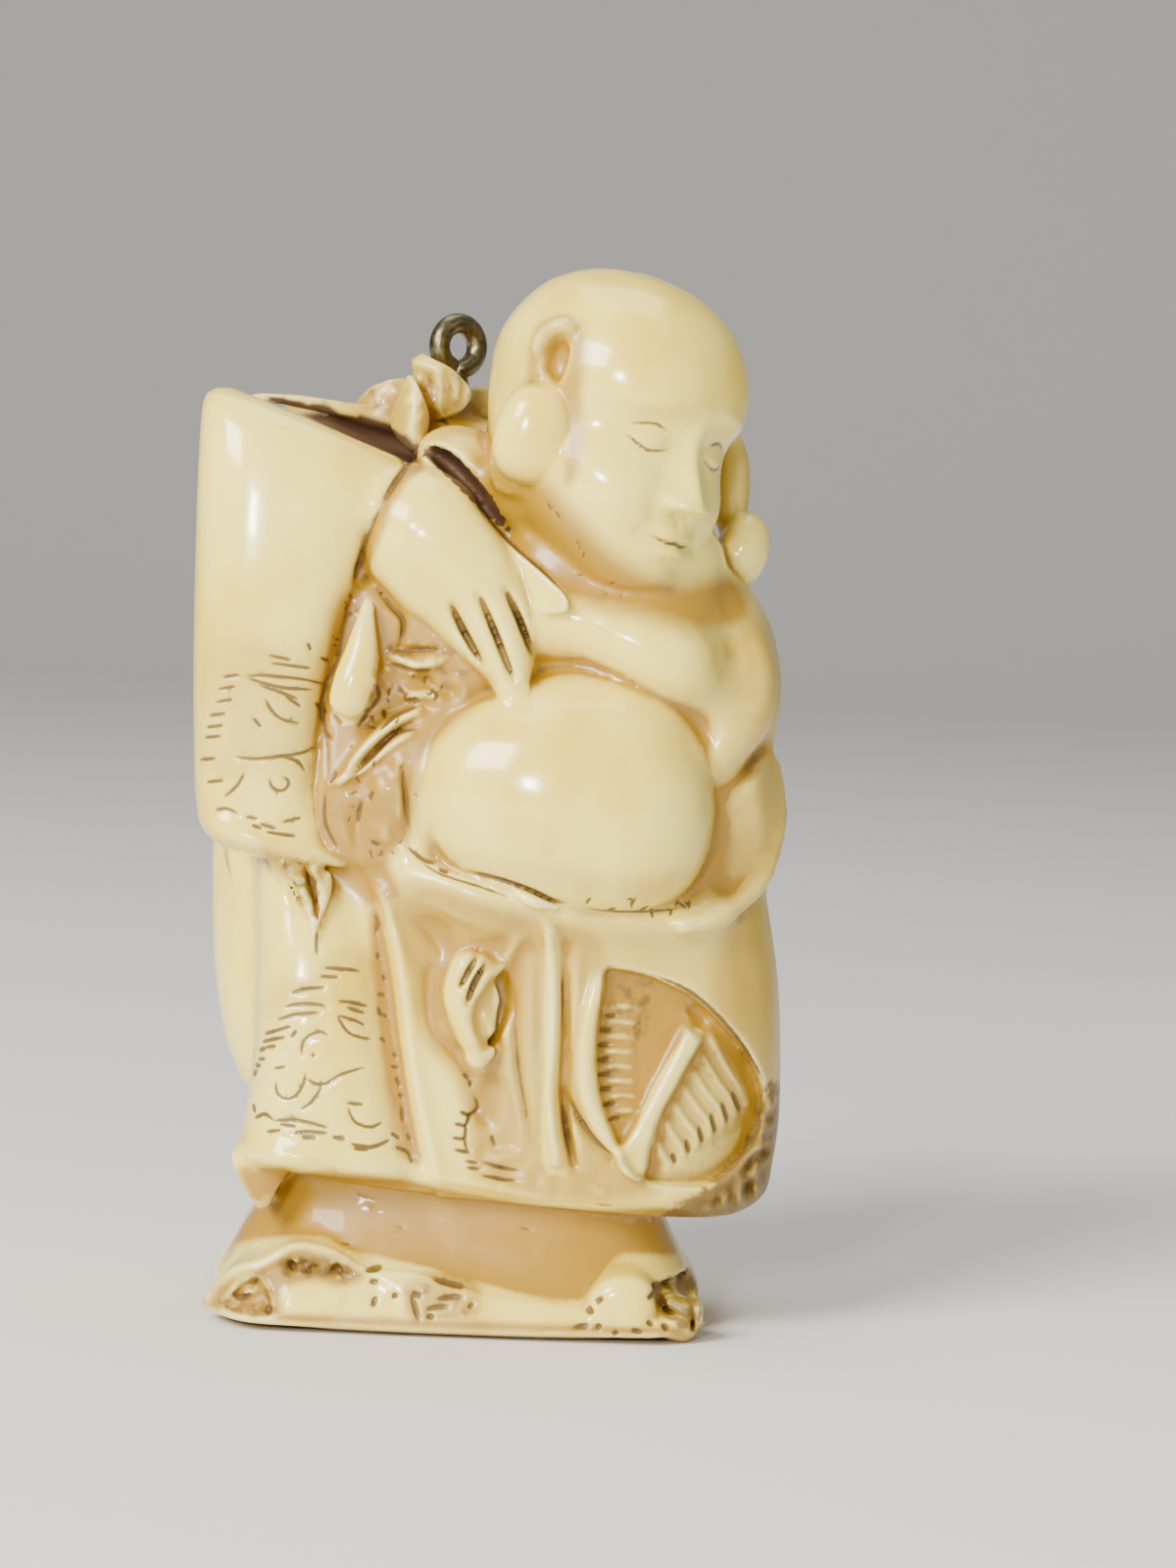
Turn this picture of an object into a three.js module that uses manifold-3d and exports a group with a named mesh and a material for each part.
// Netsuke of a standing, bald, big-bellied monk who carries a tied sack over his right shoulder.
// Millimetres. +Z up, the monk faces -Y, his right hand is at -X. The origin is the middle of the base's underside.
// The figure, its sack and its base are one carved piece; a metal screw eye stands in the sack's knot.
import * as THREE from "three";
import { LoftGeometry } from "three/addons/geometries/LoftGeometry.js";
import { mergeVertices } from "three/addons/utils/BufferGeometryUtils.js";
import Module from "manifold-3d";

const wasm = await Module();
wasm.setup();

// Driving dimensions
const height = 50; // underside of the base to the crown
const baseHeight = 5.6; // underside of the base to the robe's hem
const waistHeight = 20.6; // the roll under the belly
const shoulderHeight = 36;
const bodyFront = -7.9; // how far the robe reaches towards -Y
const bodyBack = 8.4;
const head = { centre: [5.9, -2.7, 42.2], turn: [0, 15, 43], tall: 14.5 };
const belly = { centre: [3.95, -3.4, 25.9], radii: [7.1, 7.2, 6.2] };
const eye = { centre: [-1.6, 4.4, 45.75], ring: 1.08, wire: 0.5, turn: 38, shank: 0.45, shankLength: 4.4, play: 0.1 };
const around = 24; // points round a column

const v3 = (p) => new THREE.Vector3(...p);

// A value at t (0 to 1) on the smooth curve through evenly spaced numbers.
function through(values, t) {
  const s = t * (values.length - 1);
  const i = Math.min(Math.floor(s), values.length - 2);
  const at = (k) => values[THREE.MathUtils.clamp(k, 0, values.length - 1)];
  const f = s - i;
  const a = (at(i + 1) - at(i - 1)) / 2;
  const b = (at(i + 2) - at(i)) / 2;
  const [p, q] = [at(i), at(i + 1)];
  return p + f * (a + f * (3 * (q - p) - 2 * a - b + f * (2 * (p - q) + a + b)));
}

// A loft of level rounded sections. A row is [z, left, right, front, back, dip]: the box that the section fills,
// and how much it falls for each millimetre towards +X. square 2 is an ellipse, and more is boxier.
function column(rows, { square = 2.4, steps = rows.length * 2, sides = around } = {}) {
  const sections = [];
  for (let i = 0; i <= steps; i++) {
    const [z, left, right, front, back, dip] = [0, 1, 2, 3, 4, 5].map((k) =>
      through(rows.map((row) => row[k] ?? 0), i / steps));
    const middle = (left + right) / 2;
    sections.push(Array.from({ length: sides }, (_, j) => {
      const angle = (j / sides) * 2 * Math.PI;
      const bow = (n) => Math.sign(n) * Math.abs(n) ** (2 / square);
      const x = (bow(Math.cos(angle)) * (right - left)) / 2;
      const y = (bow(Math.sin(angle)) * (back - front)) / 2 + (front + back) / 2;
      return new THREE.Vector3(middle + x, y, z - dip * x);
    }));
  }
  return new LoftGeometry(sections, { capStart: true, capEnd: true });
}

// A rounded body along a smooth path, with one radius for each point. flat is its depth over its width,
// measured along the direction deep.
function limb(points, radii, { flat = 1, deep = [0, 1, 0], sides = 6, steps = 6 } = {}) {
  const path = new THREE.CatmullRomCurve3(points.map(v3));
  const sections = [];
  for (let i = 0; i <= steps; i++) {
    const swing = (1 - Math.cos((i / steps) * Math.PI)) / 2; // closer rows at the two round ends
    const t = THREE.MathUtils.clamp(swing, 0, 1);
    const radius = through(radii, t);
    const reach = Math.min(t, 1 - t) * path.getLength();
    const round = reach < radius ? Math.sqrt(1 - (1 - reach / radius) ** 2) : 1;
    const along = path.getTangentAt(t);
    const side = new THREE.Vector3().crossVectors(along, v3(deep)).normalize();
    const out = new THREE.Vector3().crossVectors(side, along).normalize();
    const r = radius * Math.max(round, 0.12);
    sections.push(Array.from({ length: sides }, (_, j) => {
      const angle = (j / sides) * 2 * Math.PI;
      return path.getPointAt(t).addScaledVector(side, -Math.cos(angle) * r)
        .addScaledVector(out, Math.sin(angle) * r * flat);
    }));
  }
  return new LoftGeometry(sections, { capStart: true, capEnd: true });
}

// An ellipsoid, turned in degrees about X, then Y, then Z.
function blob(centre, radii, { turn = [0, 0, 0], sides = 10, rings = 6 } = {}) {
  const shape = new THREE.SphereGeometry(1, sides, rings).rotateX(Math.PI / 2).scale(...radii);
  return place(shape, centre, turn);
}

function place(shape, centre, turn = [0, 0, 0]) {
  const [x, y, z] = turn.map(THREE.MathUtils.degToRad);
  return shape.rotateX(x).rotateY(y).rotateZ(z).translate(...centre);
}

function solid(shape) {
  const bare = new THREE.BufferGeometry().setAttribute("position", shape.attributes.position);
  const merged = mergeVertices(bare.setIndex(shape.index), 1e-5);
  return new wasm.Manifold(new wasm.Mesh({
    numProp: 3,
    vertProperties: new Float32Array(merged.attributes.position.array),
    triVerts: new Uint32Array(merged.index.array),
  }));
}

const join = (shapes) => shapes.map(solid).reduce((a, b) => a.add(b));

function geometryOf(made) {
  const { numProp, vertProperties, triVerts } = made.getMesh();
  const points = new THREE.InterleavedBuffer(vertProperties, numProp);
  const shape = new THREE.BufferGeometry();
  shape.setAttribute("position", new THREE.InterleavedBufferAttribute(points, 3, 0));
  shape.setIndex(new THREE.BufferAttribute(triVerts, 1));
  const flat = shape.toNonIndexed();
  flat.computeVertexNormals();
  return flat;
}

// The flared foot, with a low mound along its front and a lump of rock at its right corner.
function base() {
  return [
    column([
      [-0.8, -11.2, 11.5, -8.7, 8.7],
      [0.8, -11.7, 11.8, -9.2, 9.2],
      [2.4, -11.3, 11.3, -8.6, 8.8],
      [3.9, -10.2, 10.4, -7.6, 7.8],
      [baseHeight, -9.1, 9.6, -6.8, 7.0],
      [baseHeight + 2, -8.8, 9.2, -6.4, 6.6],
    ], { square: 3, steps: 6 }),
    blob([-6.2, -6.5, 1.0], [5.3, 2.8, 2.5], { turn: [0, 3, 0] }),
    blob([2.6, -7.3, 0.3], [6.4, 2.0, 1.7], { turn: [0, -2, 0] }),
    blob([8.6, -7.2, 1.3], [2.2, 2.1, 2.1], { turn: [0, -14, 0] }),
  ];
}

// The robe from its hem to the shoulders.
function trunk() {
  return column([
    [baseHeight + 0.8, -9.6, 13.4, bodyFront + 0.6, 7.2, 0.08],
    [7.6, -10.3, 14.7, bodyFront, 8.0, 0.07],
    [11, -10.0, 15.1, bodyFront, bodyBack, 0.03],
    [16, -10.0, 14.8, bodyFront, bodyBack],
    [waistHeight, -10.4, 14.0, bodyFront + 0.2, bodyBack],
    [25.6, -10.6, 13.4, -6.4, 8.2],
    [31, -10.0, 12.8, -5.2, 7.8],
    [shoulderHeight, -7.0, 11.4, -3.8, 6.6],
    [shoulderHeight + 3, -3.0, 9.0, -2.4, 4.6],
  ], { square: 2.6, steps: 9 });
}

// The robe's right front panel with its raised edge, lying over the trunk.
function rightPanel() {
  return [
    column([
      [6.9, -9.9, -1.8, -8.0, 3, 0.1],
      [7.8, -10.4, -1.5, -8.9, 3, 0.1],
      [12.1, -9.8, -2.6, -8.7, 3],
      [16.5, -9.8, -3.9, -8.3, 3],
      [21.6, -10.2, -5.2, -7.2, 3],
    ], { square: 3.4, steps: 5, sides: 20 }),
    limb([[-5.9, -6.6, 22.4], [-4.6, -7.8, 16.8], [-3.3, -8.3, 12], [-1.9, -8.5, 7.4]], [0.45, 0.65, 0.75, 0.7]),
  ];
}

// The knotted sash and its hanging end over the inner robe, and the hem that runs across the front.
function frontFolds() {
  return [
    limb([[3.0, -7.5, 18.6], [3.2, -7.9, 14], [3.8, -8.2, 11], [4.3, -8.2, 7.9]], [0.8, 1.05, 1.1, 1.2],
      { flat: 0.5, sides: 8 }),
    limb([[4.0, -7.7, 18.2], [4.2, -8.3, 14], [4.7, -8.6, 11], [5.2, -8.6, 7.9]], [0.35, 0.5, 0.6, 0.6]),
    blob([0.5, -7.9, 15.6], [1.2, 1.0, 2.7], { turn: [0, 14, 0] }),
    limb([[-0.2, -7.8, 18.0], [-0.9, -8.4, 16], [-0.4, -8.8, 14.2], [0.7, -8.9, 13.1], [1.5, -8.6, 14]],
      [0.35, 0.5, 0.55, 0.6, 0.35], { steps: 8 }),
    limb([[-1.6, -7.9, 7.1], [2, -8.2, 6.5], [6, -8.2, 6.2], [10.4, -7.2, 6.1], [13.4, -4.8, 6.3]],
      [0.6, 0.7, 0.7, 0.7, 0.6]),
  ];
}

// The robe's left front, cut back in an arch, and the folded fan that shows under it: a curved edge, a straight
// stick and the ribs that spread from it.
function fan() {
  const stick = [[10.9, -7.1, 15.0], [9.4, -8.1, 11.5], [8.0, -8.3, 8.1]];
  const [top, , foot] = stick.map(v3);
  const count = 6;
  const ribs = Array.from({ length: count }, (_, i) => {
    const start = top.clone().lerp(foot, 0.12 + (0.72 * i) / (count - 1)).add(new THREE.Vector3(0.5, 0.3, 0));
    const sweep = THREE.MathUtils.degToRad(70 - (60 * i) / (count - 1));
    const end = new THREE.Vector3(9.3, -8.1, 7.9).add(
      new THREE.Vector3(4.6 * Math.sin(sweep), 1.9 * Math.sin(sweep) ** 2, 3.2 * (1 - Math.cos(sweep))));
    const middle = start.clone().lerp(end, 0.55).add(new THREE.Vector3(0.6, -0.35, 0.2));
    return limb([start, middle, end].map((p) => p.toArray()), [0.25, 0.42, 0.35], { steps: 4 });
  });
  const slats = Array.from({ length: 5 }, (_, i) =>
    limb([[6.0, -7.7, 15.1 - i], [8.3 - 0.1 * i, -7.6, 14.9 - i]], [0.36, 0.24], { sides: 5, steps: 3 }));
  return [
    column([
      [14.3, 6.4, 15.1, -6.8, 6.4, 0.75],
      [15.3, 5.4, 15.2, -7.9, 7.2, 0.66],
      [18, 5.2, 14.6, -8.0, 7.4, 0.3],
      [waistHeight, 5.8, 14.1, -7.4, 7, 0],
    ], { square: 2.4, steps: 4, sides: 20 }),
    blob([10.2, -5.2, 11.6], [4.6, 2.8, 4.6]),
    limb([[5.8, -7.4, 17.4], [5.4, -8.2, 14.3], [5.3, -8.7, 11.9], [6.0, -8.8, 10.2], [7.2, -8.7, 8.9],
      [8.7, -8.3, 7.8]], [0.3, 0.55, 0.65, 0.65, 0.55, 0.35], { steps: 9 }),
    limb(stick, [0.45, 0.6, 0.85], { steps: 5 }),
    ...ribs,
    ...slats,
    blob([13.2, -4.4, 7.9], [1.6, 1.9, 1.8]),
  ];
}

function bellyAndChest() {
  return [
    blob(belly.centre, belly.radii, { sides: 22, rings: 12 }),
    blob([7.9, -4.3, 31.4], [4.7, 3.8, 2.8], { turn: [0, 33, 0], sides: 14, rings: 8 }),
    blob([2.6, -3.8, 33], [4.2, 3.6, 3.2]),
    blob([5.6, -2.4, 35.2], [5.4, 4.4, 3.4], { sides: 14, rings: 8 }),
    limb([[-5.2, -6.0, 22.4], [-2.3, -7.3, 21.5], [1.8, -8.6, waistHeight + 0.2], [5.0, -8.9, waistHeight - 0.5],
      [9.0, -8.2, waistHeight - 0.6], [13.2, -5.0, waistHeight + 0.6]], [0.35, 0.5, 0.75, 0.6, 0.5, 0.4],
    { steps: 9 }),
  ];
}

// The right arm's wide sleeve, which hangs like a curtain, and the gathers that show in its opening.
function rightSleeve() {
  return [
    column([
      [21.6, -11.5, -6.4, -5.6, -0.4, 0.13],
      [22.1, -12.7, -5.9, -7.1, 0.6, 0.13],
      [24.6, -13.1, -6.8, -7.7, 1.0, 0.15],
      [29.5, -13.3, -6.5, -8.0, 1.1, 0.2],
      [34.5, -13.4, -5.3, -8.1, 1.0, 0.26],
      [39.2, -13.4, -4.0, -7.7, 0.4, 0.34],
      [40.9, -13.2, -3.6, -7.0, -0.4, 0.36],
      [41.5, -12.4, -4.2, -5.9, -1.6, 0.36],
    ], { square: 3, steps: 8, sides: 20 }),
    limb([[-4.6, -5.6, 35.6], [-5.0, -6.3, 32.2], [-5.4, -6.6, 29.5]], [0.3, 0.65, 0.95]),
    limb([[-4.4, -4.6, 32.0], [-1.4, -5.5, 31.7]], [0.75, 0.7], { steps: 4 }),
    limb([[-0.9, -5.6, 30.2], [-2.8, -6.2, 29.1], [-5.6, -6.4, 26.4]], [0.45, 0.6, 0.4]),
    limb([[-2.6, -5.4, 28.2], [-4.4, -6.2, 27.2], [-6.4, -6.4, 25.2]], [0.4, 0.6, 0.3]),
    limb([[-3.6, -4.9, 30.4], [-4.0, -5.6, 26], [-4.4, -6.4, 21.6]], [1.2, 1.1, 0.9]),
    limb([[-8.2, -5.6, 22.6], [-7.4, -7.0, 21], [-7.0, -7.7, 19]], [1.5, 1.1, 0.3]),
  ];
}

// The right hand lies on the chest: its back is one rounded form, and four fingers lie side by side.
function rightHand() {
  const knuckles = [[-2.0, -7.7, 34.3], [-0.8, -8.5, 34.9], [0.5, -8.7, 35.2], [1.6, -8.4, 35.0]];
  const tips = [[0.1, -8.3, 30.6], [1.4, -8.5, 29.9], [2.1, -8.4, 30.0], [2.3, -8.2, 31.2]];
  return [
    limb([[-5.2, -4.9, 38.3], [-2.9, -6.3, 37.2], [-0.6, -7.3, 35.2], [0.8, -7.8, 32.0]], [2.3, 2.9, 2.7, 1.5],
      { flat: 0.75, sides: 12, steps: 8 }),
    ...knuckles.map((knuckle, i) => {
      const middle = knuckle.map((n, k) => (n + tips[i][k]) / 2 - (k === 1 ? 0.35 : 0));
      return limb([knuckle, middle, tips[i]], [0.72, 0.72, 0.55], { steps: 5 });
    }),
    limb([[-3.4, -4.2, 40.7], [-0.4, -5.4, 38.9], [2.1, -7.0, 36.0], [3.7, -7.6, 33.9]], [1.1, 1.2, 1.1, 0.45],
      { flat: 0.8 }),
    blob([-0.8, -1.2, 39.6], [3.0, 3.4, 2.2], { turn: [0, 20, 0] }),
  ];
}

// The left arm: the sleeve over the upper arm, the fold inside the elbow, and the bag that hangs to the waist.
function leftSleeve() {
  return [
    blob([10.7, -0.8, 30.4], [3.6, 4.0, 5.5], { turn: [0, -4, 0], sides: 14, rings: 8 }),
    limb([[11.2, -2.0, 34.8], [12.0, -3.8, 30.8], [11.6, -5.2, 27.6], [11.2, -5.7, 25.4]], [0.9, 1.5, 1.5, 0.6],
      { sides: 8 }),
    blob([11.4, -1.3, 24.4], [2.9, 5.1, 4.4], { sides: 14, rings: 8 }),
    limb([[14.0, -1.2, 26.6], [14.0, -3.2, 23.2], [12.8, -5.2, 20.9], [10.2, -7.2, 19.9], [7.4, -8.2, 19.6]],
      [0.4, 0.75, 0.7, 0.55, 0.3], { steps: 9 }),
  ];
}

// The bald head, modelled facing -Y about its own middle and then turned. Eyes at half its height, the nose's
// base midway between brow and chin, and the mouth a third of the way from there to the chin.
function headForms() {
  const half = head.tall / 2;
  const brow = 0.2 * half;
  const noseBase = (brow - half) / 2;
  const mouth = noseBase - (noseBase + half) / 3;
  const eyeWidth = head.tall / 6.4;
  const pair = (make) => [make(-1), make(1)];
  return [
    column([
      [-half, -1.2, 1.2, -4.4, -1.6],
      [0.3 - half, -2.2, 2.2, -5.2, -0.6],
      [1.4 - half, -3.5, 3.5, -5.7, 2.0],
      [2.9 - half, -4.7, 4.7, -5.7, 4.0],
      [-2.3, -5.4, 5.4, -5.6, 5.4],
      [0, -5.5, 5.5, -5.2, 6.5],
      [brow + 0.8, -5.7, 5.7, -5.7, 6.9],
      [half - 3.2, -5.3, 5.3, -5.2, 6.4],
      [half - 1.5, -4.2, 4.2, -3.9, 5.2],
      [half - 0.4, -2.4, 2.4, -1.9, 3.3],
      [half, -0.7, 0.7, -0.1, 1.5],
    ], { square: 2.15, steps: 12, sides: 20 }),
    blob([0, -4.7, 1.5 - half], [1.5, 1.2, 1.1]),
    limb([[0, -5.0, brow + 0.1], [0, -5.9, noseBase + 1.6], [0, -6.3, noseBase + 0.7]], [0.55, 0.65, 0.85],
      { steps: 5 }),
    limb([[-1.5, -5.1, mouth + 0.1], [0, -5.7, mouth + 0.25], [1.5, -5.1, mouth + 0.1]], [0.25, 0.42, 0.25],
      { deep: [0, 0, 1], sides: 6, steps: 5 }),
    limb([[-1.2, -5.0, mouth - 0.5], [0, -5.5, mouth - 0.6], [1.2, -5.0, mouth - 0.5]], [0.25, 0.5, 0.25],
      { deep: [0, 0, 1], sides: 6, steps: 5 }),
    ...pair((s) => blob([0.85 * s, -5.6, noseBase + 0.3], [0.6, 0.6, 0.5], { sides: 8, rings: 5 })),
    ...pair((s) => blob([2.7 * s, -2.5, -2.2], [2.8, 2.8, 2.7])),
    ...pair((s) => blob([eyeWidth * s, -4.3, 0], [eyeWidth * 0.55, 1.0, 0.75])),
    ...pair((s) => limb([[0.7 * s, -5.3, brow], [2.4 * s, -4.9, brow + 0.5], [4.3 * s, -3.6, brow - 0.3]],
      [0.3, 0.5, 0.3], { deep: [0, 0, 1], sides: 6, steps: 5 })),
  ].map((shape) => place(shape, head.centre, head.turn));
}

// The ears, with a curled rim above and a long, full lobe below.
function ears() {
  return [
    limb([[2.2, -6.2, 44.4], [2.4, -6.2, 46.5], [3.5, -6.6, 47.3], [4.6, -7.1, 46.2]], [0.5, 0.75, 0.7, 0.45]),
    blob([3.4, -6.1, 45.2], [1.2, 0.9, 1.8], { turn: [0, 12, 0] }),
    blob([2.15, -6.8, 41.7], [1.85, 1.4, 2.3], { turn: [0, 12, 0], sides: 14, rings: 8 }),
    blob([11.6, 1.3, 39.4], [0.9, 1.3, 2.6]),
    blob([12.2, 0.3, 36.5], [1.3, 1.7, 2.0], { turn: [0, 14, 0], sides: 10, rings: 7 }),
  ];
}

// The sack on his back, its gathered neck over the right shoulder and the ruffle above the tie.
function sack() {
  const gather = [-2.0, 4.0, 42.2];
  const ruffle = [
    { tip: [-4.0, 1.9, 45.0], foot: [-3.3, 2.0, 40.2], wide: 0.95 },
    { tip: [-5.9, 4.3, 43.7], foot: [-2.6, 4.0, 42.2], wide: 0.85 },
    { tip: [-0.5, 3.0, 44.3], foot: [-1.7, 3.4, 41.4], wide: 1.05 },
    { tip: [-3.4, 6.4, 44.8], foot: [-2.4, 5.0, 41.4], wide: 1.1 },
    { tip: [-0.5, 6.2, 44.4], foot: [-1.6, 4.8, 41.4], wide: 1.1 },
  ];
  return [
    column([
      [8.2, -8.4, 4.6, 2, 8.0],
      [10.2, -11.0, 7.0, 0.6, 10.2],
      [14.8, -12.3, 8.4, 0, 11.7],
      [22, -12.6, 8.8, 0, 12.2],
      [31, -12.6, 8.4, 0.4, 11.8],
      [37.5, -12.2, 7.2, 1.2, 10.6],
      [41.2, -11.0, 3.6, 1.6, 9.0],
      [43.2, -9.4, -1.0, 2.6, 7.0],
    ], { square: 2.4, steps: 8, sides: 20 }),
    limb([[-3, 5.0, 39.6], gather, [-2.0, 4.2, 44.2]], [3.2, 1.7, 1.5], { deep: [0, 1, 0.1], sides: 10 }),
    ...ruffle.map(({ tip, foot, wide }) => {
      const middle = foot.map((n, k) => (n + tip[k]) / 2 - (k === 1 ? 0.2 : 0));
      return limb([foot, middle, tip], [0.3, wide, 0.25], { flat: 0.55, steps: 6 });
    }),
  ];
}

// A wire ring, turned a little from the front, on a plain shank with a small collar.
function screwEye() {
  const { ring, wire, turn, shank, shankLength } = eye;
  const hoop = new THREE.TorusGeometry(ring, wire, 10, 20).rotateX(Math.PI / 2)
    .rotateZ(THREE.MathUtils.degToRad(turn));
  const foot = -ring - shankLength;
  const stem = new THREE.LatheGeometry([
    [0, foot], [shank * 0.5, foot + 0.5], [shank, foot + 1], [shank, -ring], [0, -ring + wire * 0.5],
  ].map(([r, z]) => new THREE.Vector2(r, z)), 12).rotateX(Math.PI / 2);
  return join([hoop, stem]);
}

function figure() {
  const forms = [...base(), trunk(), ...rightPanel(), ...frontFolds(), ...fan(), ...bellyAndChest(),
    ...rightSleeve(), ...rightHand(), ...leftSleeve(), ...headForms(), ...ears(), ...sack()];
  const floor = new THREE.BoxGeometry(4 * height, 4 * height, 10).translate(0, 0, -5);
  const { centre, ring, shank, shankLength, play } = eye;
  const bore = new THREE.CylinderGeometry(shank + play, shank + play, shankLength + ring + play, 12)
    .rotateX(Math.PI / 2).translate(centre[0], centre[1], centre[2] - (shankLength + ring + play) / 2);
  return join(forms).subtract(solid(floor)).subtract(solid(bore));
}

const ivory = new THREE.MeshStandardMaterial({ color: 0xe6d3a0, roughness: 0.3, metalness: 0 });
const steel = new THREE.MeshStandardMaterial({ color: 0x8f8a72, roughness: 0.35, metalness: 1 });

const netsuke = new THREE.Group();
const carving = new THREE.Mesh(geometryOf(figure()), ivory);
carving.name = "carved_figure";
const screw = new THREE.Mesh(geometryOf(screwEye()), steel);
screw.name = "screw_eye";
screw.position.set(...eye.centre);
netsuke.add(carving, screw);

export default netsuke;
